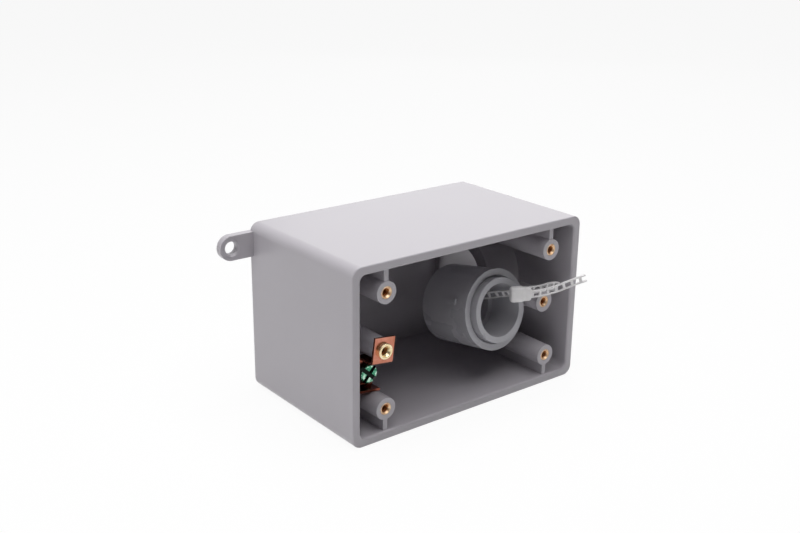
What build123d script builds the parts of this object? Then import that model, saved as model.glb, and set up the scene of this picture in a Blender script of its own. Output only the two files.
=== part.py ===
# Single-gang weatherproof junction box, lying on its long side, in millimetres
# X runs along the long side, +Y from the open front to the back, +Z up
# The origin is the centre of the back mounting face
import math
import os

from build123d import *

# Box shell
BOX_LENGTH = 114.3
BOX_HEIGHT = 70.4
BOX_DEPTH = 69.85
WALL = 3.4
BACK_WALL = 3.4
CORNER_RADIUS = 4.0
CAVITY_CORNER_RADIUS = 2.5
CAVITY_FLOOR_RADIUS = 1.5
BACK_EDGE_RADIUS = 1.0
RIM_OUTER_ROUNDING = 0.6
RIM_INNER_ROUNDING = 0.9

# Screw bosses: four near the corners for the cover, two in the middle for a device
# Their distance from the ends puts the device screws 83.3 mm apart
BOSS_FROM_END = 15.5
BOSS_FROM_SIDE = 12.2
BOSS_RADIUS = 4.35
BOSS_DRAFT_ANGLE = 0.45
BOSS_RECESS = 0.8
DEVICE_BOSS_RECESS = 3.1
WEB_THICKNESS = 2.0
WEB_RECESS = 1.1
CORE_HOLE_RADIUS = 1.9
CORE_HOLE_DEPTH = 17.0

# Mounting ears, one at each end, diagonal to each other, with countersunk holes
EAR_REACH = 14.75
EAR_HALF_HEIGHT = 5.1
EAR_THICKNESS = 3.0
EAR_FROM_SIDE = 8.2
EAR_HOLE_RADIUS = 2.6
EAR_COUNTERSINK_RADIUS = 3.4
EAR_EDGE_ROUNDING = 0.3

# Conduit socket through the right end wall: a hub outside, a tube inside and a stop ring
SOCKET_RADIUS = 16.75
SOCKET_WALL = 2.85
SOCKET_DEPTH = 25.4
SOCKET_LEAD_IN = 0.6
HUB_STAND_OUT = 6.7
HUB_EDGE_CHAMFER = 0.5
HUB_BACK_CLEARANCE = 0.05
THROAT_RADIUS = 13.3
THROAT_LENGTH = 2.3
THROAT_ROUNDING = 0.8
TUBE_EDGE_ROUNDING = 0.5

# Threaded brass inserts
INSERT_RADIUS = 2.45
INSERT_LENGTH = 8.0
INSERT_BORE_RADIUS = 1.45
INSERT_MOUTH_RADIUS = 2.0
INSERT_MOUTH_DEPTH = 0.7
INSERT_GROOVE_DEPTH = 0.35
INSERT_GROOVE_WIDTH = 1.0
INSERT_CHAMFER = 0.2
INSERT_CLEARANCE = 0.02

# Flared collar that clamps the ground strap on the left middle boss
COLLAR_FLARE_RADIUS = 3.1
COLLAR_FLARE_HEIGHT = 1.4
COLLAR_MOUTH_RADIUS = 2.15
COLLAR_MOUTH_DEPTH = 1.1
COLLAR_LIP_ROUNDING = 0.3

# Ground strap, one folded copper strip, turned a little clockwise as seen from the front
STRAP_THICKNESS = 0.9
STRAP_WIDTH = 9.2
STRAP_TURN = 7.0
STRAP_TOP_REACH = 5.1
STRAP_BEND_RADIUS = 1.0
STRAP_BACK_RUN = 10.7
STRAP_SHELF_REACH = 5.6
STRAP_BOSS_GAP = 0.3
STRAP_SHELF_GAP = 0.1
STRAP_HOLE_CLEARANCE = 0.02

# Ground screw: its place is measured down the strap and across it
SCREW_HEAD_RADIUS = 3.9
SCREW_HEAD_HEIGHT = 2.2
SCREW_HEAD_ROUNDING = 0.7
SCREW_SHANK_RADIUS = 2.4
SCREW_LENGTH = 9.5
SCREW_TIP_CHAMFER = 0.6
SCREW_DROP = 12.5
SCREW_OFFSET = 1.2
SCREW_SLOT_WIDTH = 1.6
SCREW_SLOT_DEPTH = 1.3
SCREW_SLOT_TURN = 47.0
SCREW_RUNNING_CLEARANCE = 0.05

# Reducing bushings, one nested in the other, tied to the right middle boss
OUTER_BUSHING_RADIUS = 16.7
OUTER_BUSHING_TAPER = 0.4
OUTER_BUSHING_LENGTH = 26.0
OUTER_BUSHING_THROAT_RADIUS = 10.45
OUTER_BUSHING_SOCKET_DEPTH = 20.5
INNER_BUSHING_RADIUS = 13.35
INNER_BUSHING_LENGTH = 24.0
INNER_BUSHING_BORE_RADIUS = 10.67
INNER_BUSHING_BORE_DEPTH = 17.0
INNER_BUSHING_THROAT_RADIUS = 7.9
BUSHING_CLEARANCE = 0.1
BUSHING_MOUTH_CHAMFER = 0.7
BUSHING_EDGE_CHAMFER = 0.5
BUSHING_BACKSET = 9.4
BUSHING_DROP = 0.5
BUSHING_LEAN = 2.5
BUSHING_TILT = 10.0
BUSHING_BOSS_GAP = 0.3

# Moulding gate left on the side of the outer bushing
GATE_LENGTH = 4.2
GATE_WIDTH = 2.5
GATE_HEIGHT = 0.5
GATE_FROM_FRONT = 8.0
GATE_ANGLE = 159.0

# Ladder tie: a strip with windows, a head, a loop and a free tail cut off in a window
TIE_WIDTH = 4.2
TIE_THICKNESS = 1.1
TIE_PITCH = 3.75
TIE_WINDOW_LENGTH = 2.4
TIE_WINDOW_WIDTH = 1.8
TIE_WINDOW_DEPTH = 1.6
TIE_CLEARANCE = 0.35
TIE_GUIDE_OFFSET = 0.1
TIE_HEAD_LENGTH = 8.2
TIE_HEAD_HEIGHT = 6.4
TIE_HEAD_NARROWING = 0.7
TIE_HEAD_THICKNESS = 3.6
TIE_HEAD_CORNER_RADIUS = 1.1
TIE_HEAD_EDGE_ROUNDING = 0.5
TIE_HEAD_TURN = 25.0
TIE_HEAD_STAND_OFF = 5.0
TIE_HEAD_ANGLE = 40.5
TIE_HEAD_BORE_OFFSET = 1.5
TIE_ROOT_FROM_CENTRE = 2.7
TIE_ROOT_BEHIND = 1.0
TIE_ENTRY_FROM_CENTRE = 2.05

# Hand-chosen places of the tie: to the right, back and up
# The front run and the turn start from the right middle boss's axis at the rim, the tail from the head
TIE_FRONT_RUN = [(-7.6, 2.2, 7.2), (-3.7, 2.0, 6.8), (0.9, 2.0, 6.4), (5.6, 2.4, 5.5), (8.9, 4.0, 4.4)]
TIE_TURN = [(10.0, 6.4, 3.4), (8.7, 9.3, 2.2)]
TIE_TURN_FACES = [(1, 0, 0), (0.93, 0.37, 0)]
TIE_TAIL_RUN = [(1.3, -0.9, -0.3), (8.6, -1.9, -0.8), (16.1, -3.6, -0.4), (22.8, -6.0, 1.3), (28.2, -8.8, 3.4)]

# Hand-chosen stops of its loop: distance beyond the nearest free place, angle, and depth
# The depth is from the rim, then from the bushings' rear and last from the inner bushing's face
TIE_BOSS_STOPS = [(0.3, 0, 11.5), (0.2, -40, 14.5), (0.2, -85, 18.0)]
TIE_SIDE_STOPS = [(0.0, -28, -7.0), (-1.0, -32, 1.2)]
TIE_REAR_STOP = (-5.65, -20, 2.9)
TIE_THROAT_STOPS = [(0.3, 8, 1.0), (-0.8, 20, -4.0)]
TIE_STEP_STOP = (-0.1, 23, 17.0)
TIE_BORE_STOPS = [(-0.2, 24, 8.5), (-0.2, 30, 2.5)]

# How near an edge must lie to a level to be picked from it
PICK = 0.01

os.makedirs("parts", exist_ok=True)

# Places that several pieces share
column_x = BOX_LENGTH / 2 - BOSS_FROM_END
row_z = BOX_HEIGHT / 2 - BOSS_FROM_SIDE
front_y = -BOX_DEPTH
boss_face_y = front_y + BOSS_RECESS
device_face_y = front_y + DEVICE_BOSS_RECESS
insert_hole_radius = INSERT_RADIUS + INSERT_CLEARANCE
socket_outer_radius = SOCKET_RADIUS + SOCKET_WALL
corner_places = {
    "cover_insert_top_left": (-column_x, row_z),
    "cover_insert_bottom_left": (-column_x, -row_z),
    "cover_insert_top_right": (column_x, row_z),
    "cover_insert_bottom_right": (column_x, -row_z),
}


# A plane that faces the open front, at a height above the back face
def facing_front(height):
    return Plane.XZ.offset(height)


# A plane for turned profiles that stand upright to the front: x is the radius, y the depth
def turning_plane(centre):
    return Plane(origin=centre, x_dir=(1, 0, 0), z_dir=(0, 0, 1))


with BuildPart() as box_body:
    # outer block with a rounded back edge
    with BuildSketch(facing_front(0)):
        RectangleRounded(BOX_LENGTH, BOX_HEIGHT, CORNER_RADIUS)
    extrude(amount=BOX_DEPTH)
    back_edges = box_body.faces().sort_by(Axis.Y)[-1].edges()
    fillet(back_edges, BACK_EDGE_RADIUS)

    # mounting ears, flush with the back face: the left one high, the right one low
    ear_x = BOX_LENGTH / 2 + EAR_REACH - EAR_HALF_HEIGHT
    ear_z = BOX_HEIGHT / 2 - EAR_FROM_SIDE
    with BuildSketch(facing_front(0)):
        for side in (-1, 1):
            with Locations((side * (ear_x - EAR_REACH / 2), -side * ear_z)):
                SlotCenterToCenter(EAR_REACH, 2 * EAR_HALF_HEIGHT)
    extrude(amount=EAR_THICKNESS)
    ear_edges = box_body.edges().filter_by_position(Axis.Y, -EAR_THICKNESS - PICK, -EAR_THICKNESS + PICK)
    fillet(ear_edges.filter_by(lambda edge: abs(edge.center().X) > BOX_LENGTH / 2 + PICK), EAR_EDGE_ROUNDING)

    # cavity
    with BuildSketch(facing_front(BACK_WALL)):
        RectangleRounded(BOX_LENGTH - 2 * WALL, BOX_HEIGHT - 2 * WALL, CAVITY_CORNER_RADIUS)
    extrude(amount=BOX_DEPTH - BACK_WALL, mode=Mode.SUBTRACT)
    floor_edges = box_body.edges().filter_by_position(Axis.Y, -BACK_WALL - PICK, -BACK_WALL + PICK)
    fillet(floor_edges, CAVITY_FLOOR_RADIUS)

    # rim, rounded outside and inside
    rim = box_body.faces().sort_by(Axis.Y)[0]
    fillet(rim.outer_wire().edges(), RIM_OUTER_ROUNDING)
    rim = box_body.faces().sort_by(Axis.Y)[0]
    fillet(rim.inner_wires()[0].edges(), RIM_INNER_ROUNDING)

    # conduit socket: a tube with straight sides down to the back wall, and a round hub outside
    socket_y = -socket_outer_radius - HUB_BACK_CLEARANCE
    hub_x = BOX_LENGTH / 2 + HUB_STAND_OUT
    stop_x = hub_x - SOCKET_DEPTH
    tube_x = stop_x - THROAT_LENGTH
    with BuildSketch(Plane.YZ.offset(tube_x)):
        with Locations((socket_y, 0)):
            Circle(socket_outer_radius)
        with Locations(((socket_y - BACK_WALL / 2) / 2, 0)):
            Rectangle(-socket_y - BACK_WALL / 2, 2 * socket_outer_radius)
    extrude(amount=BOX_LENGTH / 2 - WALL / 2 - tube_x)
    tube_edges = box_body.edges().filter_by_position(Axis.X, tube_x - PICK, tube_x + PICK)
    fillet(tube_edges.filter_by(lambda edge: edge.center().Y < -BACK_WALL - PICK), TUBE_EDGE_ROUNDING)
    with BuildSketch(Plane.YZ.offset(BOX_LENGTH / 2 - WALL / 2)):
        with Locations((socket_y, 0)):
            Circle(socket_outer_radius)
    extrude(amount=HUB_STAND_OUT + WALL / 2)
    hub_edges = box_body.edges().filter_by_position(Axis.X, hub_x - PICK, hub_x + PICK)
    chamfer(hub_edges, HUB_EDGE_CHAMFER)

    # corner bosses, which widen a little towards the back
    with BuildSketch(facing_front(-boss_face_y)):
        with GridLocations(2 * column_x, 2 * row_z, 2, 2):
            Circle(BOSS_RADIUS)
    extrude(amount=boss_face_y + BACK_WALL / 2, taper=-BOSS_DRAFT_ANGLE)

    # webs from the corner bosses to the long walls
    web_length = BOX_HEIGHT / 2 - WALL / 2 - row_z
    with BuildSketch(facing_front(BACK_WALL / 2)):
        for side_x in (-1, 1):
            for side_z in (-1, 1):
                with Locations((side_x * column_x, side_z * (row_z + web_length / 2))):
                    Rectangle(WEB_THICKNESS, web_length)
    extrude(amount=BOX_DEPTH - BACK_WALL / 2 - WEB_RECESS)

    # middle bosses for the device, set back from the rim
    with BuildSketch(facing_front(-device_face_y)):
        with GridLocations(2 * column_x, 0, 2, 1):
            Circle(BOSS_RADIUS)
    extrude(amount=device_face_y + BACK_WALL / 2, taper=-BOSS_DRAFT_ANGLE)

    # the socket's bore, its stop ring and its rounded throat, cut as one turned profile
    rounding_centre = (tube_x + THROAT_ROUNDING, THROAT_RADIUS + THROAT_ROUNDING)
    with BuildSketch(turning_plane((0, socket_y, 0))):
        with BuildLine():
            Polyline(
                (tube_x + THROAT_ROUNDING, THROAT_RADIUS),
                (stop_x, THROAT_RADIUS),
                (stop_x, SOCKET_RADIUS),
                (hub_x - SOCKET_LEAD_IN, SOCKET_RADIUS),
                (hub_x, SOCKET_RADIUS + SOCKET_LEAD_IN),
                (hub_x, 0),
                (tube_x, 0),
                (tube_x, THROAT_RADIUS + THROAT_ROUNDING),
            )
            CenterArc(rounding_centre, THROAT_ROUNDING, 180, 90)
        make_face()
    revolve(axis=Axis((0, socket_y, 0), (1, 0, 0)), mode=Mode.SUBTRACT)

    # seats for the inserts, each with a run-out hole for the screw's end
    with Locations(facing_front(-boss_face_y)):
        with GridLocations(2 * column_x, 2 * row_z, 2, 2):
            CounterBoreHole(CORE_HOLE_RADIUS, insert_hole_radius, INSERT_LENGTH, CORE_HOLE_DEPTH)
    with Locations(facing_front(-device_face_y)):
        with GridLocations(2 * column_x, 0, 2, 1):
            CounterBoreHole(CORE_HOLE_RADIUS, insert_hole_radius, INSERT_LENGTH, CORE_HOLE_DEPTH)

    # ear holes
    with Locations(facing_front(EAR_THICKNESS)):
        with Locations((-ear_x, ear_z), (ear_x, -ear_z)):
            CounterSinkHole(EAR_HOLE_RADIUS, EAR_COUNTERSINK_RADIUS, EAR_THICKNESS, 90)
box_body.part.label = "box_body"
export_step(box_body.part, "parts/box_body.step")

# Threaded inserts, turned from brass, flush with the face of their boss
insert_places = {name: (x, boss_face_y, z) for name, (x, z) in corner_places.items()}
insert_places["device_insert_right"] = (column_x, device_face_y, 0)
for node, place in insert_places.items():
    with BuildPart() as insert:
        with BuildSketch(turning_plane(place)) as profile:
            with BuildLine():
                Polyline(
                    (INSERT_MOUTH_RADIUS, 0),
                    (INSERT_RADIUS, 0),
                    (INSERT_RADIUS, INSERT_LENGTH),
                    (INSERT_BORE_RADIUS, INSERT_LENGTH),
                    (INSERT_BORE_RADIUS, INSERT_MOUTH_DEPTH),
                    close=True,
                )
            make_face()
            chamfer(profile.vertices().group_by(Axis.X)[-1], INSERT_CHAMFER)
            with Locations((INSERT_RADIUS, INSERT_LENGTH / 2)):
                Rectangle(2 * INSERT_GROOVE_DEPTH, INSERT_GROOVE_WIDTH, mode=Mode.SUBTRACT)
        revolve(axis=Axis(place, (0, 1, 0)))
    insert.part.label = node
    export_step(insert.part, f"parts/{node}.step")

# Flared collar: its barrel sits in the boss and its flare holds the strap down
collar_front = -COLLAR_FLARE_HEIGHT - STRAP_THICKNESS
collar_seat = (-column_x, device_face_y, 0)
with BuildPart() as ground_collar:
    with BuildSketch(turning_plane(collar_seat)) as profile:
        with BuildLine():
            Polyline(
                (COLLAR_MOUTH_RADIUS, collar_front),
                (COLLAR_FLARE_RADIUS, collar_front),
                (COLLAR_FLARE_RADIUS, -STRAP_THICKNESS),
                (INSERT_RADIUS, -STRAP_THICKNESS),
                (INSERT_RADIUS, INSERT_LENGTH),
                (INSERT_BORE_RADIUS, INSERT_LENGTH),
                (INSERT_BORE_RADIUS, collar_front + COLLAR_MOUTH_DEPTH),
                close=True,
            )
        make_face()
        fillet(profile.vertices().group_by(Axis.Y)[0], COLLAR_LIP_ROUNDING)
    revolve(axis=Axis(collar_seat, (0, 1, 0)))
ground_collar.part.label = "ground_collar"
export_step(ground_collar.part, "parts/ground_collar.step")

# Ground strap: its side view is one bent line with the strip's thickness
turn = math.radians(STRAP_TURN)
strap_down = Vector(-math.sin(turn), 0, -math.cos(turn))
strap_right = Vector(math.cos(turn), 0, -math.sin(turn))
strap_side = Plane(origin=(-column_x, 0, 0), x_dir=(0, 1, 0), z_dir=strap_right)
plate_y = device_face_y - STRAP_THICKNESS / 2
screw_plate_y = plate_y + STRAP_BACK_RUN
boss_radius_there = BOSS_RADIUS + STRAP_BACK_RUN * math.tan(math.radians(BOSS_DRAFT_ANGLE))
under_boss = -(boss_radius_there + STRAP_BOSS_GAP + STRAP_THICKNESS / 2)
shelf_height = -(row_z * math.cos(turn) - boss_radius_there - STRAP_SHELF_GAP - STRAP_THICKNESS / 2)
screw_centre = Vector(-column_x, 0, 0) + strap_down * SCREW_DROP + strap_right * SCREW_OFFSET
with BuildPart() as ground_strap:
    with BuildSketch(strap_side):
        with BuildLine():
            FilletPolyline(
                (plate_y, STRAP_TOP_REACH),
                (plate_y, under_boss),
                (screw_plate_y, under_boss),
                (screw_plate_y, shelf_height),
                (screw_plate_y - STRAP_SHELF_REACH, shelf_height),
                radius=STRAP_BEND_RADIUS,
            )
        trace(line_width=STRAP_THICKNESS)
    extrude(amount=STRAP_WIDTH / 2, both=True)
    with BuildSketch(facing_front(-device_face_y)):
        with Locations((-column_x, 0)):
            Circle(INSERT_RADIUS + STRAP_HOLE_CLEARANCE)
    extrude(amount=2 * STRAP_THICKNESS, mode=Mode.SUBTRACT)
    with BuildSketch(facing_front(-screw_plate_y)):
        with Locations((screw_centre.X, screw_centre.Z)):
            Circle(SCREW_SHANK_RADIUS + SCREW_RUNNING_CLEARANCE)
    extrude(amount=STRAP_THICKNESS, both=True, mode=Mode.SUBTRACT)
ground_strap.part.label = "ground_strap"
export_step(ground_strap.part, "parts/ground_strap.step")

# Ground screw: a rounded head with a cross recess, and a plain shank for the thread
head_seat = screw_centre + Vector(0, screw_plate_y - STRAP_THICKNESS / 2 - SCREW_RUNNING_CLEARANCE, 0)
head_top = head_seat - Vector(0, SCREW_HEAD_HEIGHT, 0)
with BuildPart() as ground_screw:
    with BuildSketch(turning_plane(head_seat)):
        with BuildLine():
            Polyline(
                (0, -SCREW_HEAD_HEIGHT),
                (SCREW_HEAD_RADIUS, -SCREW_HEAD_HEIGHT),
                (SCREW_HEAD_RADIUS, 0),
                (SCREW_SHANK_RADIUS, 0),
                (SCREW_SHANK_RADIUS, SCREW_LENGTH - SCREW_TIP_CHAMFER),
                (SCREW_SHANK_RADIUS - SCREW_TIP_CHAMFER, SCREW_LENGTH),
                (0, SCREW_LENGTH),
                close=True,
            )
        make_face()
    revolve(axis=Axis(head_seat, (0, 1, 0)))
    head_rim = ground_screw.edges().filter_by(GeomType.CIRCLE).group_by(Axis.Y)[0]
    fillet(head_rim, SCREW_HEAD_ROUNDING)
    slot_way = Vector(math.cos(math.radians(SCREW_SLOT_TURN)), 0, math.sin(math.radians(SCREW_SLOT_TURN)))
    with BuildSketch(Plane(origin=head_top, x_dir=slot_way, z_dir=(0, -1, 0))):
        Rectangle(2 * SCREW_HEAD_RADIUS, SCREW_SLOT_WIDTH)
        Rectangle(SCREW_SLOT_WIDTH, 2 * SCREW_HEAD_RADIUS)
    extrude(amount=-SCREW_SLOT_DEPTH, mode=Mode.SUBTRACT)
ground_screw.part.label = "ground_screw"
export_step(ground_screw.part, "parts/ground_screw.step")

# Bushing axis: it points back and a little down and to the left
lean = math.radians(BUSHING_LEAN)
tilt = math.radians(BUSHING_TILT)
bushing_axis = Vector(-math.sin(lean), math.cos(lean) * math.cos(tilt), -math.sin(tilt)).normalized()
bushing_right = bushing_axis.cross(Vector(0, 0, 1)).normalized()
bushing_up = bushing_right.cross(bushing_axis)
bushing_x = column_x - BOSS_RADIUS - BUSHING_BOSS_GAP - OUTER_BUSHING_RADIUS
bushing_front = Vector(bushing_x, front_y + BUSHING_BACKSET, -BUSHING_DROP)


# A direction square to the bushing axis, at an angle from its right side
def around_bushing(angle):
    return bushing_right * math.cos(math.radians(angle)) + bushing_up * math.sin(math.radians(angle))


# A plane through the bushing axis: x is the radius and y the depth from a face
def bushing_plane(face_centre):
    return Plane(origin=face_centre, x_dir=bushing_right, z_dir=bushing_right.cross(bushing_axis))


with BuildPart() as outer_bushing:
    with BuildSketch(bushing_plane(bushing_front)):
        with BuildLine():
            Polyline(
                (INNER_BUSHING_RADIUS + BUSHING_CLEARANCE + BUSHING_MOUTH_CHAMFER, 0),
                (OUTER_BUSHING_RADIUS, 0),
                (OUTER_BUSHING_RADIUS - OUTER_BUSHING_TAPER, OUTER_BUSHING_LENGTH),
                (OUTER_BUSHING_THROAT_RADIUS, OUTER_BUSHING_LENGTH),
                (OUTER_BUSHING_THROAT_RADIUS, OUTER_BUSHING_SOCKET_DEPTH),
                (INNER_BUSHING_RADIUS + BUSHING_CLEARANCE, OUTER_BUSHING_SOCKET_DEPTH),
                (INNER_BUSHING_RADIUS + BUSHING_CLEARANCE, BUSHING_MOUTH_CHAMFER),
                close=True,
            )
        make_face()
    revolve(axis=Axis(bushing_front, bushing_axis))

    # the gate, a small flat pad that starts below the tapered surface
    gate_way = around_bushing(GATE_ANGLE)
    gate_root = OUTER_BUSHING_RADIUS - 2 * OUTER_BUSHING_TAPER
    gate_centre = bushing_front + bushing_axis * GATE_FROM_FRONT + gate_way * gate_root
    with BuildSketch(Plane(origin=gate_centre, x_dir=bushing_axis, z_dir=gate_way)):
        Rectangle(GATE_LENGTH, GATE_WIDTH)
    extrude(amount=OUTER_BUSHING_RADIUS + GATE_HEIGHT - gate_root)
outer_bushing.part.label = "outer_bushing"
export_step(outer_bushing.part, "parts/outer_bushing.step")

inner_stand_out = INNER_BUSHING_LENGTH - OUTER_BUSHING_SOCKET_DEPTH
inner_front = bushing_front - bushing_axis * inner_stand_out
with BuildPart() as inner_bushing:
    with BuildSketch(bushing_plane(inner_front)):
        with BuildLine():
            Polyline(
                (INNER_BUSHING_BORE_RADIUS, 0),
                (INNER_BUSHING_RADIUS - BUSHING_EDGE_CHAMFER, 0),
                (INNER_BUSHING_RADIUS, BUSHING_EDGE_CHAMFER),
                (INNER_BUSHING_RADIUS, INNER_BUSHING_LENGTH),
                (INNER_BUSHING_THROAT_RADIUS, INNER_BUSHING_LENGTH),
                (INNER_BUSHING_THROAT_RADIUS, INNER_BUSHING_BORE_DEPTH),
                (INNER_BUSHING_BORE_RADIUS, INNER_BUSHING_BORE_DEPTH),
                close=True,
            )
        make_face()
    revolve(axis=Axis(inner_front, bushing_axis))
inner_bushing.part.label = "inner_bushing"
export_step(inner_bushing.part, "parts/inner_bushing.step")


# A place by the bushings: depth behind the inner bushing's face, radius and angle
def by_bushing(depth, radius, angle):
    return inner_front + bushing_axis * depth + around_bushing(angle) * radius


# The strip's cross-section planes along a line of stops, two for each pitch
def strip_planes(stops):
    route = Spline([place for place, _ in stops], mode=Mode.PRIVATE)
    guide = Spline([place + face * TIE_GUIDE_OFFSET for place, face in stops], mode=Mode.PRIVATE)
    planes = []
    for half_step in range(math.ceil(2 * route.length / TIE_PITCH) + 1):
        along = min(half_step * TIE_PITCH / 2 / route.length, 1)
        heading = route.tangent_at(along)
        face = guide.position_at(along) - route.position_at(along)
        planes.append(Plane(origin=route.position_at(along), x_dir=heading.cross(face), z_dir=heading))
    return planes


# Stops of the loop: out of the head, round the boss, behind the bushings and back through the bore
to_front = Vector(0, -1, 0)
boss_at_rim = Vector(column_x, front_y, 0)
head_turn = math.radians(TIE_HEAD_TURN)
head_along = Vector(math.cos(head_turn), -math.sin(head_turn), 0)
head_face = Vector(-math.sin(head_turn), -math.cos(head_turn), 0)
head_centre = by_bushing(-TIE_HEAD_STAND_OFF, INNER_BUSHING_BORE_RADIUS - TIE_HEAD_BORE_OFFSET, TIE_HEAD_ANGLE)
boss_reach = BOSS_RADIUS + TIE_CLEARANCE + TIE_THICKNESS
side_reach = OUTER_BUSHING_RADIUS + TIE_CLEARANCE + TIE_THICKNESS
throat_reach = INNER_BUSHING_THROAT_RADIUS - TIE_CLEARANCE - TIE_THICKNESS / 2
bore_reach = INNER_BUSHING_BORE_RADIUS - TIE_CLEARANCE - TIE_THICKNESS
rear_depth = inner_stand_out + OUTER_BUSHING_LENGTH
rear_out, rear_angle, rear_back = TIE_REAR_STOP
step_out, step_angle, step_back = TIE_STEP_STOP
throat_faces = [(bushing_axis - bushing_right).normalized(), -bushing_right]
loop_stops = [(head_centre + head_along * TIE_ROOT_FROM_CENTRE - head_face * TIE_ROOT_BEHIND, to_front)]
loop_stops += [(boss_at_rim + Vector(*place), to_front) for place in TIE_FRONT_RUN]
loop_stops += [(boss_at_rim + Vector(*place), Vector(*face)) for place, face in zip(TIE_TURN, TIE_TURN_FACES)]
for out, angle, back in TIE_BOSS_STOPS:
    away = Vector(math.cos(math.radians(angle)), 0, math.sin(math.radians(angle)))
    loop_stops.append((boss_at_rim + Vector(0, back, 0) + away * (boss_reach + out), away))
for out, angle, back in TIE_SIDE_STOPS:
    loop_stops.append((by_bushing(rear_depth + back, side_reach + out, angle), around_bushing(angle)))
loop_stops.append((by_bushing(rear_depth + rear_back, side_reach + rear_out, rear_angle), bushing_axis))
for (out, angle, back), face in zip(TIE_THROAT_STOPS, throat_faces):
    loop_stops.append((by_bushing(rear_depth + back, throat_reach + out, angle), face))
loop_stops.append((by_bushing(step_back, throat_reach + step_out, step_angle), -around_bushing(step_angle)))
for out, angle, back in TIE_BORE_STOPS:
    loop_stops.append((by_bushing(back, bore_reach + out, angle), -around_bushing(angle)))
loop_stops.append((head_centre - head_along * TIE_ENTRY_FROM_CENTRE, -bushing_right))
tail_stops = [(head_centre + Vector(*place), head_face) for place in TIE_TAIL_RUN]


# A stretch of the strip with its windows, apart from the first one, which is inside the head
def ladder_strip(stops):
    planes = strip_planes(stops)
    with BuildPart() as strip:
        with BuildSketch(*planes):
            Rectangle(TIE_WIDTH, TIE_THICKNESS)
        loft(ruled=True)
        for gap in planes[3::2]:
            with BuildSketch(Plane(origin=gap.origin, x_dir=gap.z_dir, z_dir=gap.y_dir)):
                Rectangle(TIE_WINDOW_LENGTH, TIE_WINDOW_WIDTH)
            extrude(amount=TIE_WINDOW_DEPTH / 2, both=True, mode=Mode.SUBTRACT)
    return strip.part


loop_strip = ladder_strip(loop_stops)
tail_strip = ladder_strip(tail_stops)
with BuildPart() as cable_tie:
    # head, a block that narrows a little towards the strip
    with BuildSketch(Plane(origin=head_centre, x_dir=head_along, z_dir=head_face)):
        corner_x = TIE_HEAD_LENGTH / 2 - TIE_HEAD_CORNER_RADIUS
        corner_y = TIE_HEAD_HEIGHT / 2 - TIE_HEAD_CORNER_RADIUS
        for side in (-1, 1):
            with Locations((-corner_x, side * corner_y), (corner_x, side * (corner_y - TIE_HEAD_NARROWING))):
                Circle(TIE_HEAD_CORNER_RADIUS)
        make_hull()
    extrude(amount=TIE_HEAD_THICKNESS / 2, both=True)
    head_ends = cable_tie.faces().sort_by(Axis(head_centre, head_face))
    fillet(head_ends[0].edges() + head_ends[-1].edges(), TIE_HEAD_EDGE_ROUNDING)

    # both ends of the strip go through it
    add(loop_strip)
    add(tail_strip)
cable_tie.part.label = "cable_tie"
export_step(cable_tie.part, "parts/cable_tie.step")

print("pieces written:", sorted(os.listdir("parts")))
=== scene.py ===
# %% [markdown]
# # A moulded junction box
# This lesson dresses a small electrical box: a grey plastic moulding with brass
# inserts, a folded copper strap with a green screw, two pipe bushings and a white
# ladder tie. The solid pieces come from a CAD model as a fixed frame, so every
# piece below is placed in the frame's own coordinates. Blender works in metres,
# and the lengths of the lesson are written in millimetres.

# %% Load the frame
import math

import bmesh
import bpy
from mathutils import Matrix, Vector


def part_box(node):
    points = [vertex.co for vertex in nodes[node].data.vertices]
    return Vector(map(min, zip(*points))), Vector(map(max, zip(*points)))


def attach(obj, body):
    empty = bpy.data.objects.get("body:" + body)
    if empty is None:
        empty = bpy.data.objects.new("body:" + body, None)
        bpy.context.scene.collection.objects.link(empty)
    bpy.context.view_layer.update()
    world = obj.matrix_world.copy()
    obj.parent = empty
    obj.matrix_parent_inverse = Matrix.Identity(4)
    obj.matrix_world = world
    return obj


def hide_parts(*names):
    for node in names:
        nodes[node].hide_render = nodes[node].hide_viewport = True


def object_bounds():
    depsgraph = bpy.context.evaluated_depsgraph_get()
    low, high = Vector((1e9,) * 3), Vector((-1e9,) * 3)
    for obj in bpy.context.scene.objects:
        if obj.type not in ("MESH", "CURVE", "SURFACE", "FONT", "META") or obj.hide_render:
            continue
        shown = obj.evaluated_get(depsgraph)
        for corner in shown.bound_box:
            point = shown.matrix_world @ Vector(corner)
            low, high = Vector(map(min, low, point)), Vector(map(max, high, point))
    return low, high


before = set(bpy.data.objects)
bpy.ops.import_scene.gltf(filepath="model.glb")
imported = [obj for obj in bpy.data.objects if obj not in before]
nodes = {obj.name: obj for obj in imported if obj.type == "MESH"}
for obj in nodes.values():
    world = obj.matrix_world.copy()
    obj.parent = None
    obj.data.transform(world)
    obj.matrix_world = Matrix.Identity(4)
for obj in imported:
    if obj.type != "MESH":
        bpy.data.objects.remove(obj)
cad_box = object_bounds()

MM = 0.001
print("CAD nodes:", sorted(nodes))

# %% [markdown]
# ## Camera
# The view was worked out from the box's own straight edges: the six corners that
# show fix where the camera stands, where it points and how long its lens is. The
# heading turns right from +Y, and the camera looks down on the open front from
# the left.

# %% Place the camera
CAMERA_PLACE = Vector((-260.53, -353.92, 156.93)) * MM
CAMERA_HEADING = math.radians(38.275)
CAMERA_DOWN = math.radians(19.041)
CAMERA_ROLL = math.radians(0.663)
CAMERA_LENS_MM = 48.27
SENSOR_MM = 36.0
NEAREST_SEEN_MM = 10.0


def camera_axes(heading, down, roll):
    ahead = Vector((
        math.sin(heading) * math.cos(down),
        math.cos(heading) * math.cos(down),
        -math.sin(down),
    ))
    level = Vector((math.cos(heading), -math.sin(heading), 0))
    upright = level.cross(ahead)
    right = level * math.cos(roll) + upright * math.sin(roll)
    up = upright * math.cos(roll) - level * math.sin(roll)
    return right, up, ahead


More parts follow.
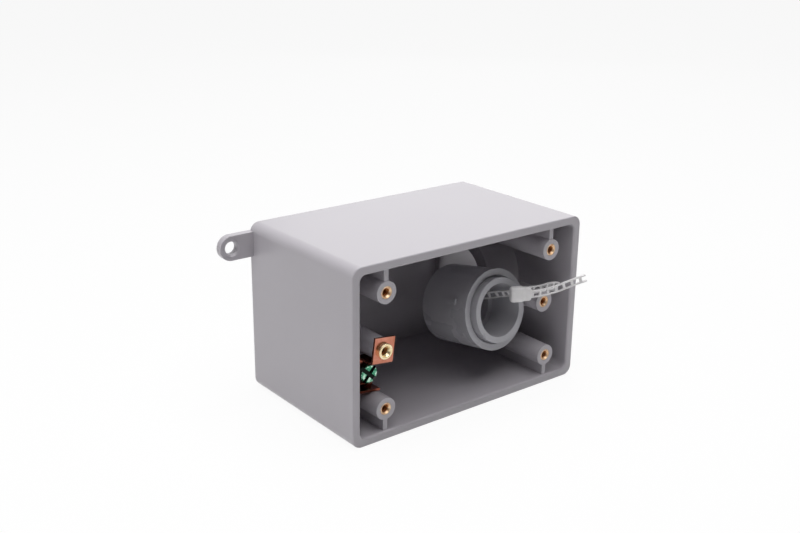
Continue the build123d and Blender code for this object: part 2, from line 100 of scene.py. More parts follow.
def place_camera():
    lens = bpy.data.cameras.new("camera")
    lens.lens = CAMERA_LENS_MM
    lens.sensor_width = SENSOR_MM
    lens.clip_start = NEAREST_SEEN_MM * MM
    camera = bpy.data.objects.new("camera", lens)
    right, up, ahead = camera_axes(CAMERA_HEADING, CAMERA_DOWN, CAMERA_ROLL)
    turn = Matrix((right, up, -ahead)).transposed().to_4x4()
    camera.matrix_world = Matrix.Translation(CAMERA_PLACE) @ turn
    bpy.context.scene.collection.objects.link(camera)
    bpy.context.scene.camera = camera


place_camera()

# %% [markdown]
# ## Helpers for materials
# Colours are written as they look on a screen, in hex, and turned to the linear
# values that the renderer works in. One small function adds any node with its
# settings and its links, so each material below reads as a short list. A socket is
# called by its name, or by its number where a node has several of one name.
# Patterns are laid out on Object coordinates, so a noise of scale 1 / size has
# features of about that size on the real thing.

# %% Colour and node helpers
def linear(hex_colour):
    channels = [int(hex_colour[i:i + 2], 16) / 255 for i in (1, 3, 5)]
    low = [c / 12.92 for c in channels]
    high = [((c + 0.055) / 1.055) ** 2.4 for c in channels]
    return tuple(h if c > 0.04045 else l for c, l, h in zip(channels, low, high)) + (1.0,)


def add_node(tree, kind, settings=None, links=None):
    node = tree.nodes.new(kind)
    for key, value in (settings or {}).items():
        if isinstance(key, int) or key in node.inputs:
            node.inputs[key].default_value = value
        else:
            setattr(node, key, value)
    for key, source in (links or {}).items():
        tree.links.new(source, node.inputs[key])
    return node


def new_material(name):
    material = bpy.data.materials.new(name)
    material.use_nodes = True
    tree = material.node_tree
    tree.nodes.clear()
    output = add_node(tree, "ShaderNodeOutputMaterial")
    place = add_node(tree, "ShaderNodeTexCoord").outputs["Object"]
    return material, tree, output, place


def colour_ramp(tree, factor, stops):
    node = add_node(tree, "ShaderNodeValToRGB", links={"Fac": factor})
    ramp = node.color_ramp
    ramp.elements[0].position = stops[0][0]
    ramp.elements[0].color = stops[0][1]
    ramp.elements[1].position = stops[-1][0]
    ramp.elements[1].color = stops[-1][1]
    for position, colour in stops[1:-1]:
        ramp.elements.new(position).color = colour
    return node.outputs["Color"]


# %% [markdown]
# ## Rigid PVC, injection moulded
# The box is rigid grey PVC. It comes out of a finely spark-eroded steel mould, so
# the eye sees a satin gloss that is a little uneven: a fine orange-peel in the
# reflections and a very faint cloudiness in the colour where the melt flowed. The
# clouds run over the whole range of the noise, because a ramp that stops short of
# it draws a faint outline round every cloud.

# %% Moulded PVC
PVC_IOR = 1.53
FLOW_CLOUD_MM = 22.0
GLOSS_SWING = (-0.06, 0.07)
ORANGE_PEEL_MM = 1.4
PEEL_DEPTH_MM = 0.06
GRAIN_MM = 0.25
GRAIN_DEPTH_MM = 0.02


def moulded_pvc(name, colour, shade, roughness):
    material, tree, output, place = new_material(name)
    cloud = add_node(tree, "ShaderNodeTexNoise",
                     {"Scale": 1 / (FLOW_CLOUD_MM * MM), "Detail": 3.0, "Roughness": 0.5},
                     {"Vector": place}).outputs["Fac"]
    peel = add_node(tree, "ShaderNodeTexNoise",
                    {"Scale": 1 / (ORANGE_PEEL_MM * MM), "Detail": 1.0},
                    {"Vector": place}).outputs["Fac"]
    grain = add_node(tree, "ShaderNodeTexNoise",
                     {"Scale": 1 / (GRAIN_MM * MM), "Detail": 2.0},
                     {"Vector": place}).outputs["Fac"]
    tint = colour_ramp(tree, cloud, [(0.0, linear(shade)), (1.0, linear(colour))])
    gloss = add_node(tree, "ShaderNodeMapRange",
                     {"To Min": roughness + GLOSS_SWING[0], "To Max": roughness + GLOSS_SWING[1]},
                     {"Value": cloud}).outputs["Result"]
    skin = add_node(tree, "ShaderNodeBump", {"Strength": 0.12, "Distance": PEEL_DEPTH_MM * MM},
                    {"Height": peel}).outputs["Normal"]
    fine = add_node(tree, "ShaderNodeBump", {"Strength": 0.18, "Distance": GRAIN_DEPTH_MM * MM},
                    {"Height": grain, "Normal": skin}).outputs["Normal"]
    shader = add_node(tree, "ShaderNodeBsdfPrincipled", {"IOR": PVC_IOR},
                      {"Base Color": tint, "Roughness": gloss, "Normal": fine})
    tree.links.new(shader.outputs["BSDF"], output.inputs["Surface"])
    return material


box_pvc = moulded_pvc("moulded_pvc_box", "#B4B0B6", "#AEAAB0", 0.30)
bushing_pvc = moulded_pvc("moulded_pvc_bushing", "#AFAEB3", "#ABAAB0", 0.28)

# %% [markdown]
# ## Turned brass
# The inserts are cut on a lathe from free-cutting brass. The tool leaves fine marks
# that break up the shine, and handling leaves the yellow a little dull in places.
# The flared collar is polished by the screw that bears on it, and its paler colour is
# partly a painted highlight on its lip. The tapped threads get a darker brown copy of
# the brass, painted shade for bores that see little light.

# %% Turned brass
# noise below the first number is dull metal, above the second bright
PATCHY = (0.35, 0.65)
TARNISH_MM = 1.6
TURNING_MM = 0.18
TURNING_DEPTH_MM = 0.02


def turned_brass(name, dull, bright, metallic, roughness):
    material, tree, output, place = new_material(name)
    tarnish = add_node(tree, "ShaderNodeTexNoise",
                       {"Scale": 1 / (TARNISH_MM * MM), "Detail": 3.0},
                       {"Vector": place}).outputs["Fac"]
    tint = colour_ramp(tree, tarnish, [(PATCHY[0], linear(dull)), (PATCHY[1], linear(bright))])
    marks = add_node(tree, "ShaderNodeTexNoise",
                     {"Scale": 1 / (TURNING_MM * MM), "Detail": 1.0},
                     {"Vector": place}).outputs["Fac"]
    bump = add_node(tree, "ShaderNodeBump",
                    {"Strength": 0.2, "Distance": TURNING_DEPTH_MM * MM},
                    {"Height": marks}).outputs["Normal"]
    shader = add_node(tree, "ShaderNodeBsdfPrincipled",
                      {"Metallic": metallic, "Roughness": roughness},
                      {"Base Color": tint, "Normal": bump})
    tree.links.new(shader.outputs["BSDF"], output.inputs["Surface"])
    return material


insert_brass = turned_brass("turned_brass", "#DAB088", "#EFD2AE", 0.8, 0.38)
# paler than the inserts: partly a painted highlight on the collar's lip
collar_brass_painted_highlight = turned_brass("turned_brass_collar", "#F2DCAE", "#FBEBC6", 0.85, 0.26)
# a darker brown copy of the brass for the threads: painted shade inside the bores
thread_brass_painted_shade = turned_brass("thread_brass_painted_shade", "#A8632F", "#CB8A4F", 0.5, 0.45)

# %% [markdown]
# ## Rolled copper
# The ground strap is bare copper strip, sheared and folded. Rolling draws fine
# lines along the strip. The plate in front keeps the copper's own colour, and a little
# way behind the plate a dark brown painted shade takes over the folds.

# %% Rolled copper
# from this depth into the box a dark brown painted shade takes over the copper
COPPER_SHADE_FROM_Y_MM = -66.0
COPPER_SHADE_REACH_MM = 1.5
COPPER_SHADE_SHARE = 0.75
COPPER_PATCH_MM = 3.0
ROLLING_LINE_MM = 1.0
ROLLING_STRETCH = (6.0, 0.4, 0.4)
ROLLING_DEPTH_MM = 0.02


def rolled_copper():
    material, tree, output, place = new_material("rolled_copper")
    patches = add_node(tree, "ShaderNodeTexNoise",
                       {"Scale": 1 / (COPPER_PATCH_MM * MM), "Detail": 4.0},
                       {"Vector": place}).outputs["Fac"]
    unshaded_copper = colour_ramp(tree, patches,
                        [(PATCHY[0], linear("#A8674F")), (PATCHY[1], linear("#C78572"))])
    behind = add_node(tree, "ShaderNodeSeparateXYZ", links={"Vector": place}).outputs["Y"]
    copper_painted_shade = add_node(tree, "ShaderNodeMapRange",
                     {"From Min": COPPER_SHADE_FROM_Y_MM * MM,
                      "From Max": (COPPER_SHADE_FROM_Y_MM + COPPER_SHADE_REACH_MM) * MM,
                      "To Max": COPPER_SHADE_SHARE},
                     {"Value": behind}).outputs["Result"]
    # the dark brown painted shade is mixed in behind the plate
    tint = add_node(tree, "ShaderNodeMix", {"data_type": "RGBA", "B": linear("#6E2F22")},
                    {"Factor": copper_painted_shade, "A": unshaded_copper}).outputs["Result"]
    across = add_node(tree, "ShaderNodeMapping", {"Scale": ROLLING_STRETCH},
                      {"Vector": place}).outputs["Vector"]
    lines = add_node(tree, "ShaderNodeTexNoise",
                     {"Scale": 1 / (ROLLING_LINE_MM * MM), "Detail": 2.0},
                     {"Vector": across}).outputs["Fac"]
    bump = add_node(tree, "ShaderNodeBump",
                    {"Strength": 0.2, "Distance": ROLLING_DEPTH_MM * MM},
                    {"Height": lines}).outputs["Normal"]
    shader = add_node(tree, "ShaderNodeBsdfPrincipled", {"Metallic": 1.0, "Roughness": 0.20},
                      {"Base Color": tint, "Normal": bump})
    tree.links.new(shader.outputs["BSDF"], output.inputs["Surface"])
    return material


strap_copper = rolled_copper()

# %% [markdown]
# ## Green dyed steel
# Ground screws are marked by a green dip over bright zinc plating. The dip is
# clear, so the metal shines through it: a coloured metal under a thin coat. Below
# the raised faces the recess gets a dark green painted shade.

# %% Green dyed zinc plate
SCREW_TOP_Y_MM = -59.2
# below the top of the head, a dark green painted shade fills the recess over this depth
RECESS_SHADE_DEPTH_MM = 0.5
DYE_PATCH_MM = 1.3


def green_plate():
    material, tree, output, place = new_material("green_dyed_zinc")
    thin = add_node(tree, "ShaderNodeTexNoise",
                    {"Scale": 1 / (DYE_PATCH_MM * MM), "Detail": 2.0},
                    {"Vector": place}).outputs["Fac"]
    tint = colour_ramp(tree, thin, [(0.40, linear("#1F7A58")), (0.48, linear("#46A57F")),
                                    (0.58, linear("#C8EBD6"))])
    depth = add_node(tree, "ShaderNodeSeparateXYZ", links={"Vector": place}).outputs["Y"]
    recess_shade_share = add_node(tree, "ShaderNodeMapRange",
                      {"From Min": SCREW_TOP_Y_MM * MM,
                       "From Max": (SCREW_TOP_Y_MM + RECESS_SHADE_DEPTH_MM) * MM},
                      {"Value": depth}).outputs["Result"]
    plated = add_node(tree, "ShaderNodeBsdfPrincipled",
                      {"Metallic": 0.8, "Roughness": 0.25,
                       "Coat Weight": 0.6, "Coat Roughness": 0.1},
                      {"Base Color": tint}).outputs["BSDF"]
    # a dark green painted shade for the recess
    recess_painted_shade = add_node(tree, "ShaderNodeBsdfPrincipled",
                   {"Base Color": linear("#0B241B"), "Roughness": 0.6,
                    "Specular IOR Level": 0.2}).outputs["BSDF"]
    shader = add_node(tree, "ShaderNodeMixShader", links={"Fac": recess_shade_share, 1: plated, 2: recess_painted_shade})
    tree.links.new(shader.outputs["Shader"], output.inputs["Surface"])
    return material


screw_green = green_plate()

# %% [markdown]
# ## Natural nylon
# The ladder tie is undyed nylon. It is milky: light goes in, scatters and comes
# out again a little way off, so its shadows are soft and its edges glow.

# %% Natural nylon
NYLON_IOR = 1.53
MILK_MM = 2.5
SCATTER_MM = 0.8


def natural_nylon():
    material, tree, output, place = new_material("natural_nylon")
    milk = add_node(tree, "ShaderNodeTexNoise", {"Scale": 1 / (MILK_MM * MM), "Detail": 2.0},
                    {"Vector": place}).outputs["Fac"]
    tint = colour_ramp(tree, milk, [(0.0, linear("#DEDCDD")), (1.0, linear("#EAE8E9"))])
    shader = add_node(tree, "ShaderNodeBsdfPrincipled",
                      {"Roughness": 0.34, "IOR": NYLON_IOR, "Subsurface Weight": 0.3,
                       "Subsurface Radius": (1.0, 1.0, 1.0),
                       "Subsurface Scale": SCATTER_MM * MM},
                      {"Base Color": tint})
    tree.links.new(shader.outputs["BSDF"], output.inputs["Surface"])
    return material


tie_nylon = natural_nylon()

# %% [markdown]
# ## One finish for each CAD piece
# A table says which piece has which material. The pieces that it leaves out are the
# five plain inserts, which are brass.

# %% Give each CAD piece its finish
FINISHES = {
    "box_body": box_pvc,
    "outer_bushing": bushing_pvc,
    "inner_bushing": bushing_pvc,
    "ground_strap": strap_copper,
    "ground_screw": screw_green,
    "ground_collar": collar_brass_painted_highlight,
    "cable_tie": tie_nylon,
}
for node in nodes:
    slots = nodes[node].data.materials
    slots.clear()
    slots.append(FINISHES.get(node, insert_brass))

# %% [markdown]
# ## Threads in the brass
# A tapped hole catches the light on every turn, so a smooth bore looks wrong. A
# thread is one helix, repeated in each insert: Geometry Nodes sweep a three-sided
# ridge along a spiral and set a copy at every hole. Cutting the groove out of each
# insert would be slower and no easier to see.

# %% Thread tree
THREAD_PITCH_MM = 0.79
THREAD_RADIUS_MM = 1.40
THREAD_LENGTH_MM = 7.0
RIDGE_MM = 0.27
RIDGE_SIDES = 3
STEPS_PER_TURN = 20


def new_tree(name, inputs):
    tree = bpy.data.node_groups.new(name, "GeometryNodeTree")
    for label, kind in inputs:
        tree.interface.new_socket(label, in_out="INPUT", socket_type=kind)
    tree.interface.new_socket("Geometry", in_out="OUTPUT", socket_type="NodeSocketGeometry")
    return tree, tree.nodes.new("NodeGroupInput").outputs


def end_tree(tree, geometry, material):
    whole = add_node(tree, "GeometryNodeRealizeInstances", links={"Geometry": geometry})
    dressed = add_node(tree, "GeometryNodeSetMaterial",
                       links={"Geometry": whole.outputs["Geometry"], "Material": material})
    add_node(tree, "NodeGroupOutput", links={"Geometry": dressed.outputs["Geometry"]})


def thread_tree():
    tree, given = new_tree("thread_tree", [
        ("Holes", "NodeSocketGeometry"), ("Turns", "NodeSocketFloat"),
        ("Length", "NodeSocketFloat"), ("Radius", "NodeSocketFloat"),
        ("Ridge", "NodeSocketFloat"), ("Material", "NodeSocketMaterial")])
    spiral = add_node(tree, "GeometryNodeCurveSpiral", {"Resolution": STEPS_PER_TURN},
                      {"Rotations": given["Turns"], "Start Radius": given["Radius"],
                       "End Radius": given["Radius"], "Height": given["Length"]})
    ridge = add_node(tree, "GeometryNodeCurvePrimitiveCircle", {"Resolution": RIDGE_SIDES},
                     {"Radius": given["Ridge"]})
    helix = add_node(tree, "GeometryNodeCurveToMesh", {"Fill Caps": True},
                     {"Curve": spiral.outputs["Curve"], "Profile Curve": ridge.outputs["Curve"]})
    laid = add_node(tree, "GeometryNodeTransform", {"Rotation": (-math.pi / 2, 0, 0)},
                    {"Geometry": helix.outputs["Mesh"]})
    copies = add_node(tree, "GeometryNodeInstanceOnPoints",
                      links={"Points": given["Holes"], "Instance": laid.outputs["Geometry"]})
    end_tree(tree, copies.outputs["Instances"], given["Material"])
    return tree


thread_nodes = thread_tree()

# %% [markdown]
# ## From points to a piece
# The tree runs on a mesh of bare points, one for each hole. The grown mesh is kept
# as a plain one, and the modifier goes, so the piece no longer changes.
# Each thread starts a little behind the mouth of its hole.

# %% Grow the threads
INSERT_LEAD_MM = 0.75
COLLAR_LEAD_MM = 1.3
MERGE_REACH_MM = 1e-4


def bake(piece):
    graph = bpy.context.evaluated_depsgraph_get()
    mesh = bpy.data.meshes.new_from_object(piece.evaluated_get(graph))
    piece.modifiers.clear()
    piece.data = mesh
    return mesh


def clean_up(mesh, merge):
    shape = bmesh.new()
    shape.from_mesh(mesh)
    if merge:
        bmesh.ops.remove_doubles(shape, verts=shape.verts, dist=MERGE_REACH_MM * MM)
    bmesh.ops.recalc_face_normals(shape, faces=shape.faces)
    shape.to_mesh(mesh)
    shape.free()


def grow(name, tree, points, values, body):
    seed = bpy.data.meshes.new(name + "_points")
    seed.from_pydata(points, [], [])
    piece = bpy.data.objects.new(name, seed)
    bpy.context.scene.collection.objects.link(piece)
    modifier = piece.modifiers.new("grow", "NODES")
    modifier.node_group = tree
    sockets = {s.name: s.identifier for s in tree.interface.items_tree
               if s.item_type == "SOCKET" and s.in_out == "INPUT"}
    for label, value in values.items():
        modifier[sockets[label]] = value
    mesh = bake(piece)
    clean_up(mesh, merge=True)
    mesh.name = name
    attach(piece, body)
    print(name, len(mesh.polygons), "faces")


def hole_start(low, high, lead):
    return ((low[0] + high[0]) / 2, low[1] + lead * MM, (low[2] + high[2]) / 2)


def hole_starts():
    starts = []
    for node in sorted(nodes):
        if "insert" in node:
            low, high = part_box(node)
            starts.append(hole_start(low, high, INSERT_LEAD_MM))
    low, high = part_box("ground_collar")
    starts.append(hole_start(low, high, COLLAR_LEAD_MM))
    return starts


grow("insert_threads", thread_nodes, hole_starts(),
     {"Turns": THREAD_LENGTH_MM / THREAD_PITCH_MM, "Length": THREAD_LENGTH_MM * MM,
      "Radius": THREAD_RADIUS_MM * MM, "Ridge": RIDGE_MM * MM, "Material": thread_brass_painted_shade},
     "housing")

# %% [markdown]
# ## The ladder tie
# The tie is one nylon moulding: a soft-cornered head, and a strip like a ladder,
# two rails with a rung at every step. The strip leaves the head, goes round the
# boss and behind the bushings, and comes back through their bore. Every stop below
# is a place and the way that the strip's face looks there. A natural cubic spline
# joins the places without a kink, and the face turns evenly from stop to stop.

# %% Where the tie runs
TIE_LOOP = [
    ((30.5, -67.7, 7.5), (0.00, -1.00, 0.00)), ((34.0, -67.6, 7.1), (0.00, -1.00, 0.00)),
    ((37.9, -67.8, 6.8), (0.00, -1.00, 0.00)), ((42.5, -67.8, 6.8), (0.00, -1.00, 0.00)),
    ((47.2, -67.4, 6.1), (0.00, -1.00, 0.00)), ((50.5, -65.8, 4.6), (0.00, -1.00, 0.00)),
    ((51.6, -63.4, 3.4), (1.00, 0.00, 0.00)), ((50.3, -60.5, 2.2), (0.93, 0.37, 0.00)),
    ((47.8, -58.3, 0.0), (1.00, 0.00, 0.00)), ((46.2, -55.3, -3.9), (0.77, 0.00, -0.64)),
    ((42.2, -51.8, -6.0), (0.09, 0.00, -1.00)), ((35.5, -42.5, -12.2), (0.89, -0.04, -0.46)),
    ((33.7, -34.6, -14.2), (0.85, -0.05, -0.52)), ((30.8, -32.2, -9.7), (-0.04, 0.98, -0.17)),
    ((26.3, -33.4, -4.2), (-0.74, 0.66, -0.12)), ((25.1, -38.2, -2.2), (-1.00, -0.04, 0.00)),
    ((26.0, -46.4, -0.2), (-0.92, -0.11, -0.38)), ((28.2, -54.5, 2.7), (-0.91, -0.11, -0.40)),
    ((28.0, -60.3, 4.7), (-0.86, -0.13, -0.49)), ((25.7, -66.6, 7.0), (-1.00, -0.04, 0.00)),
]
TIE_TAIL = [
    ((28.9, -68.4, 6.3), (-0.42, -0.91, 0.00)), ((36.2, -69.4, 5.8), (-0.42, -0.91, 0.00)),
    ((43.7, -71.1, 6.4), (-0.42, -0.91, 0.00)), ((50.4, -73.5, 8.3), (-0.42, -0.91, 0.00)),
    ((55.8, -76.1, 10.1), (-0.42, -0.91, 0.00)),
]


def spline_bends(knots, values):
    size = len(knots)
    step = [b - a for a, b in zip(knots, knots[1:])]
    slope = [(b - a) / h for a, b, h in zip(values, values[1:], step)]
    share, carried = [0.0] * size, [0.0] * size
    for i in range(1, size - 1):
        pivot = 2 * (step[i - 1] + step[i]) - step[i - 1] * share[i - 1]
        share[i] = step[i] / pivot
        carried[i] = (6 * (slope[i] - slope[i - 1]) - step[i - 1] * carried[i - 1]) / pivot
    bend = [0.0] * size
    for i in range(size - 2, 0, -1):
        bend[i] = carried[i] - share[i] * bend[i + 1]
    return bend


def smooth_line(stops):
    points = [Vector(place) for place, _ in stops]
    knots = [0.0]
    for a, b in zip(points, points[1:]):
        knots.append(knots[-1] + (b - a).length)
    columns = [[p[i] for p in points] for i in range(3)]
    bends = [spline_bends(knots, column) for column in columns]

    def at(distance):
        k = max(i for i in range(len(knots) - 1) if knots[i] <= distance)
        width = knots[k + 1] - knots[k]
        b = (distance - knots[k]) / width
        a = 1 - b
        place, heading = [], []
        for column, bend in zip(columns, bends):
            low, high = column[k], column[k + 1]
            sway = (a ** 3 - a) * bend[k] + (b ** 3 - b) * bend[k + 1]
            tilt = (3 * b * b - 1) * bend[k + 1] - (3 * a * a - 1) * bend[k]
            place.append(a * low + b * high + sway * width ** 2 / 6)
            heading.append((high - low) / width + tilt * width / 6)
        ease = b * b * (3 - 2 * b)
        face = Vector(stops[k][1]).slerp(Vector(stops[k + 1][1]), ease)
        return Vector(place), Vector(heading).normalized(), face

    return at, knots[-1]


# %% [markdown]
# ## The strip
# The strip is a flat grid, three columns wide, with the middle column left out
# between two rungs. A Solidify modifier gives it its thickness and a Bevel rounds
# its edges as the mould does. Both are baked into the mesh.

# %% The ladder strip
STRIP_WIDTH_MM = 3.25
STRIP_THICKNESS_MM = 0.8
RAIL_MM = 0.68
RUNG_PITCH_MM = 3.75
RUNG_MM = 1.1
STATIONS_PER_WINDOW = 3
SOFT_EDGE_MM = 0.16
SOFT_EDGE_FROM = math.radians(50)


def new_piece(name, shape):
    mesh = bpy.data.meshes.new(name)
    shape.to_mesh(mesh)
    shape.free()
    piece = bpy.data.objects.new(name, mesh)
    bpy.context.scene.collection.objects.link(piece)
    return piece


def rung_marks(length):
    window = RUNG_PITCH_MM - RUNG_MM
    offsets = [-RUNG_MM / 2, RUNG_MM / 2]
    for i in range(STATIONS_PER_WINDOW):
        offsets.append(RUNG_MM / 2 + window * (i + 1) / (STATIONS_PER_WINDOW + 1))
    # each mark is a distance along the strip, and whether a rung starts there
    marks = []
    for step in range(int(length / RUNG_PITCH_MM) + 2):
        for i, offset in enumerate(offsets):
            distance = step * RUNG_PITCH_MM + offset
            if 0 <= distance <= length:
                marks.append((distance, i == 0))
    return marks + [(length, False)]


def ladder(name, stops):
    at, length = smooth_line(stops)
    half = STRIP_WIDTH_MM / 2
    across = [-half, -half + RAIL_MM, half - RAIL_MM, half]
    marks = rung_marks(length)
    shape = bmesh.new()
    rows = []
    for distance, _ in marks:
        place, heading, face = at(distance)
        side = heading.cross(face).normalized()
        rows.append([shape.verts.new((place + side * a) * MM) for a in across])
    for low, high, (_, rung) in zip(rows, rows[1:], marks):
        for column in (0, 1, 2):
            if column != 1 or rung:
                shape.faces.new((low[column], low[column + 1], high[column + 1], high[column]))
    piece = new_piece(name, shape)
    wall = piece.modifiers.new("thickness", "SOLIDIFY")
    wall.thickness = STRIP_THICKNESS_MM * MM
    wall.offset = 0.0
    edge = piece.modifiers.new("soft edges", "BEVEL")
    edge.width = SOFT_EDGE_MM * MM
    edge.segments = 2
    edge.limit_method = "ANGLE"
    edge.angle_limit = SOFT_EDGE_FROM
    mesh = bake(piece)
    clean_up(mesh, merge=False)
    mesh.materials.clear()
    mesh.materials.append(tie_nylon)
    return piece


loop_strip = ladder("tie_loop", TIE_LOOP)
tail_strip = ladder("tie_tail", TIE_TAIL)

# %% [markdown]
# ## The head
# The head is lofted along the tail's direction from sections that are nearly
# square with soft corners: a superellipse, whose power says how square it is. The
# step half way along is a shoulder, and the end towards the tail is the slimmer.

# %% The head
HEAD_CENTRE = Vector((27.59, -67.47, 6.84))
HEAD_ALONG = Vector((0.9063, -0.4226, 0.0))
HEAD_FACE = Vector((-0.4226, -0.9063, 0.0))
HEAD_UP = Vector((0, 0, 1))
HEAD_ROUND = 32
HEAD_POWER = 3.2
# place along the head, half height, half thickness, height of the middle
HEAD_SECTIONS = [
    (-4.65, 2.3, 1.1, -0.1), (-4.55, 2.8, 1.5, -0.1), (-4.1, 3.15, 1.8, -0.1),
    (-2.9, 3.25, 1.95, -0.15), (0.1, 3.25, 1.95, -0.15), (0.5, 3.15, 1.9, -0.15),
    (0.65, 2.95, 1.7, -0.2), (1.9, 2.95, 1.65, -0.2), (3.3, 2.85, 1.55, -0.3),
    (3.9, 2.6, 1.35, -0.3), (4.1, 2.1, 1.0, -0.3),
]


def head():
    shape = bmesh.new()
    rings = []
    for along, tall, thick, lift in HEAD_SECTIONS:
        ring = []
        for i in range(HEAD_ROUND):
            turn = 2 * math.pi * i / HEAD_ROUND
            c, s = math.cos(turn), math.sin(turn)
            reach = (abs(c) ** HEAD_POWER + abs(s) ** HEAD_POWER) ** (-1 / HEAD_POWER)
            middle = HEAD_CENTRE + HEAD_ALONG * along
            place = middle + HEAD_UP * (lift + tall * s * reach) + HEAD_FACE * thick * c * reach
            ring.append(shape.verts.new(place * MM))
        rings.append(ring)
    for low, high in zip(rings, rings[1:]):
        for i in range(HEAD_ROUND):
            j = (i + 1) % HEAD_ROUND
            shape.faces.new((low[i], low[j], high[j], high[i]))
    shape.faces.new(rings[0])
    shape.faces.new(rings[-1])
    bmesh.ops.recalc_face_normals(shape, faces=shape.faces)
    piece = new_piece("tie_head", shape)
    piece.data.materials.append(tie_nylon)
    piece.data.shade_smooth()
    return piece


for piece in (loop_strip, tail_strip, head()):
    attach(piece, "housing")
    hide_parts("cable_tie")
    print(piece.name, len(piece.data.polygons), "faces")

# %% [markdown]
# ## The inner bushing
# The bushing is seated a little deeper than the solid, with a crisp outer edge and
# a stop ring inside its bore. It is a round form, so one profile is swept round the
# bushing's axis. Only its true corners are left sharp.

# %% Sweep the inner bushing
BUSHING_FRONT = Vector((20.453, -63.893, 0.108))
BUSHING_AXIS = Vector((-0.0436, 0.9838, -0.1736))
BUSHING_RIGHT = Vector((0.999, 0.0443, 0.0))
BUSHING_UP = Vector((-0.0077, 0.1735, 0.9848))
BUSHING_ROUND = 128
CORNER_FROM = math.radians(30)
# radius and depth behind the solid's front, going round the wall
BUSHING_PROFILE = [
    (10.95, 0.70), (13.20, 0.70), (13.35, 0.85), (13.35, 23.90), (8.20, 23.90),
    (8.20, 15.80), (8.30, 15.70), (10.67, 15.70), (10.85, 0.80),
]


def swept(name, profile):
    shape = bmesh.new()
    rings = []
    for i in range(BUSHING_ROUND):
        turn = 2 * math.pi * i / BUSHING_ROUND
        out = BUSHING_RIGHT * math.cos(turn) + BUSHING_UP * math.sin(turn)
        rings.append([shape.verts.new((BUSHING_FRONT + BUSHING_AXIS * depth + out * radius) * MM)
                      for radius, depth in profile])
    for low, high in zip(rings, rings[1:] + rings[:1]):
        for j in range(len(profile)):
            k = (j + 1) % len(profile)
            shape.faces.new((low[j], low[k], high[k], high[j]))
    bmesh.ops.recalc_face_normals(shape, faces=shape.faces)
    piece = new_piece(name, shape)
    piece.data.materials.append(bushing_pvc)
    piece.data.shade_smooth()
    piece.data.set_sharp_from_angle(angle=CORNER_FROM)
    return piece


inner_rings = swept("inner_bushing_rings", BUSHING_PROFILE)
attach(inner_rings, "housing")
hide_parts("inner_bushing")
print(inner_rings.name, len(inner_rings.data.polygons), "faces")

# %% [markdown]
# ## The floor
# The box lies on a seamless white table. To the eye, and in reflections, most of
# the table's white is a glow of its own, so it stays white however it is lit. The
# rest is lit paper, which keeps the box's shadow. Light that bounces meets paper
# only, so the glow lights nothing.

# %% White floor
FLOOR_SIZE_M = 4.0
FLOOR_GLOW = 0.93


def white_floor():
    bottom = cad_box[0][2]
    half = FLOOR_SIZE_M / 2
    corners = [(-half, -half, bottom), (half, -half, bottom),
               (half, half, bottom), (-half, half, bottom)]
    mesh = bpy.data.meshes.new("floor")
    mesh.from_pydata(corners, [], [(0, 1, 2, 3)])
    floor = bpy.data.objects.new("floor", mesh)
    bpy.context.scene.collection.objects.link(floor)
    material, tree, output, _ = new_material("white_table")
    paper = add_node(tree, "ShaderNodeBsdfDiffuse", {"Color": linear("#F0F0F0")}).outputs["BSDF"]
    glow = add_node(tree, "ShaderNodeEmission", {"Color": linear("#FFFFFF")}).outputs["Emission"]
    seen = add_node(tree, "ShaderNodeLightPath").outputs
    either = add_node(tree, "ShaderNodeMath", {"operation": "MAXIMUM"},
                      {0: seen["Is Camera Ray"], 1: seen["Is Glossy Ray"]}).outputs["Value"]
    any_of_three = add_node(tree, "ShaderNodeMath", {"operation": "MAXIMUM"},
                            {0: either, 1: seen["Is Transmission Ray"]}).outputs["Value"]
    share = add_node(tree, "ShaderNodeMath", {"operation": "MULTIPLY", 1: FLOOR_GLOW},
                     {0: any_of_three}).outputs["Value"]
    mixed = add_node(tree, "ShaderNodeMixShader", links={"Fac": share, 1: paper, 2: glow})
    tree.links.new(mixed.outputs["Shader"], output.inputs["Surface"])
    mesh.materials.append(material)


white_floor()

# %% [markdown]
# ## The tent and its lamps
# Round the table stands a white tent. The eye sees it plain white. A reflection
# sees it white behind the box and dark in front, where the photographer stands, so
# the glossy sides don't wash out. It gives only a little light by itself. Three
# soft strips hang overhead, one at the left lights the end of the box, and a weak
# one behind on the right draws its far edge. The inside stays dark because little
# of their light gets in.

# %% White tent and lamps
TENT_STRENGTH = 0.05
TENT_DARK_TO, TENT_WHITE_FROM = -0.2, 0.3
TENT_DARK = 0.1
AIM = Vector((0, -0.03, 0))
# name, then place, width and height in metres, then watts
LAMPS = [
    ("over_front", (0.0, -0.35, 0.75), 0.9, 0.35, 2.6),
    ("over_middle", (0.0, 0.0, 0.75), 0.9, 0.35, 4.3),
    ("over_back", (0.0, 0.35, 0.75), 0.9, 0.35, 1.3),
    ("side_left", (-0.80, 0.05, 0.25), 0.5, 0.5, 1.1),
    ("back_right", (0.60, 0.60, 0.30), 0.5, 0.5, 0.35),
]


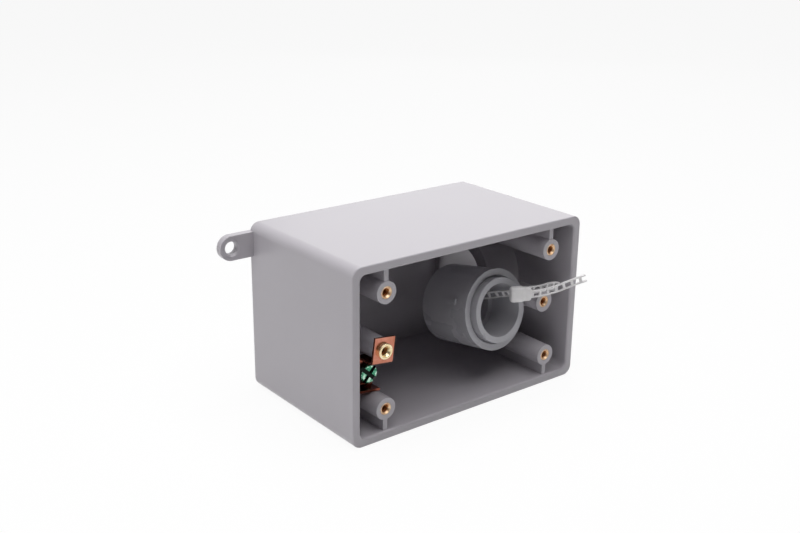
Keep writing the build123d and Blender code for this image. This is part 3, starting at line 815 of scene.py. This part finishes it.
def white_tent():
    world = bpy.data.worlds.new("tent")
    world.use_nodes = True
    bpy.context.scene.world = world
    tree = world.node_tree
    tree.nodes.clear()
    output = add_node(tree, "ShaderNodeOutputWorld")
    seen = add_node(tree, "ShaderNodeLightPath").outputs
    way = add_node(tree, "ShaderNodeTexCoord").outputs["Generated"]
    behind = add_node(tree, "ShaderNodeSeparateXYZ", links={"Vector": way}).outputs["Y"]
    backdrop = add_node(tree, "ShaderNodeMapRange",
                        {"From Min": TENT_DARK_TO, "From Max": TENT_WHITE_FROM,
                         "To Min": TENT_DARK, "To Max": 1.0},
                        {"Value": behind}).outputs["Result"]
    gloss = add_node(tree, "ShaderNodeMath", {"operation": "MULTIPLY"},
                     {0: seen["Is Glossy Ray"], 1: backdrop}).outputs["Value"]
    plain = add_node(tree, "ShaderNodeMath", {"operation": "MAXIMUM"},
                     {0: seen["Is Camera Ray"], 1: seen["Is Transmission Ray"]}).outputs["Value"]
    share = add_node(tree, "ShaderNodeMath", {"operation": "MAXIMUM"},
                     {0: plain, 1: gloss}).outputs["Value"]
    dim, white = [
        add_node(tree, "ShaderNodeBackground",
                 {"Color": linear("#FFFFFF"), "Strength": strength}).outputs["Background"]
        for strength in (TENT_STRENGTH, 1.0)]
    mixed = add_node(tree, "ShaderNodeMixShader", links={"Fac": share, 1: dim, 2: white})
    tree.links.new(mixed.outputs["Shader"], output.inputs["Surface"])


def soft_box(name, place, width, height, watts):
    lamp = bpy.data.lights.new(name, "AREA")
    lamp.shape = "RECTANGLE"
    lamp.size = width
    lamp.size_y = height
    lamp.energy = watts
    light = bpy.data.objects.new(name, lamp)
    light.location = place
    light.rotation_euler = (AIM - Vector(place)).to_track_quat("-Z", "Y").to_euler()
    bpy.context.scene.collection.objects.link(light)


white_tent()
for lamp in LAMPS:
    soft_box(*lamp)

# %% [markdown]
# ## Finish
# The picture is shown plainly.

# %% Finish
view = bpy.context.scene.view_settings
view.view_transform = "Standard"
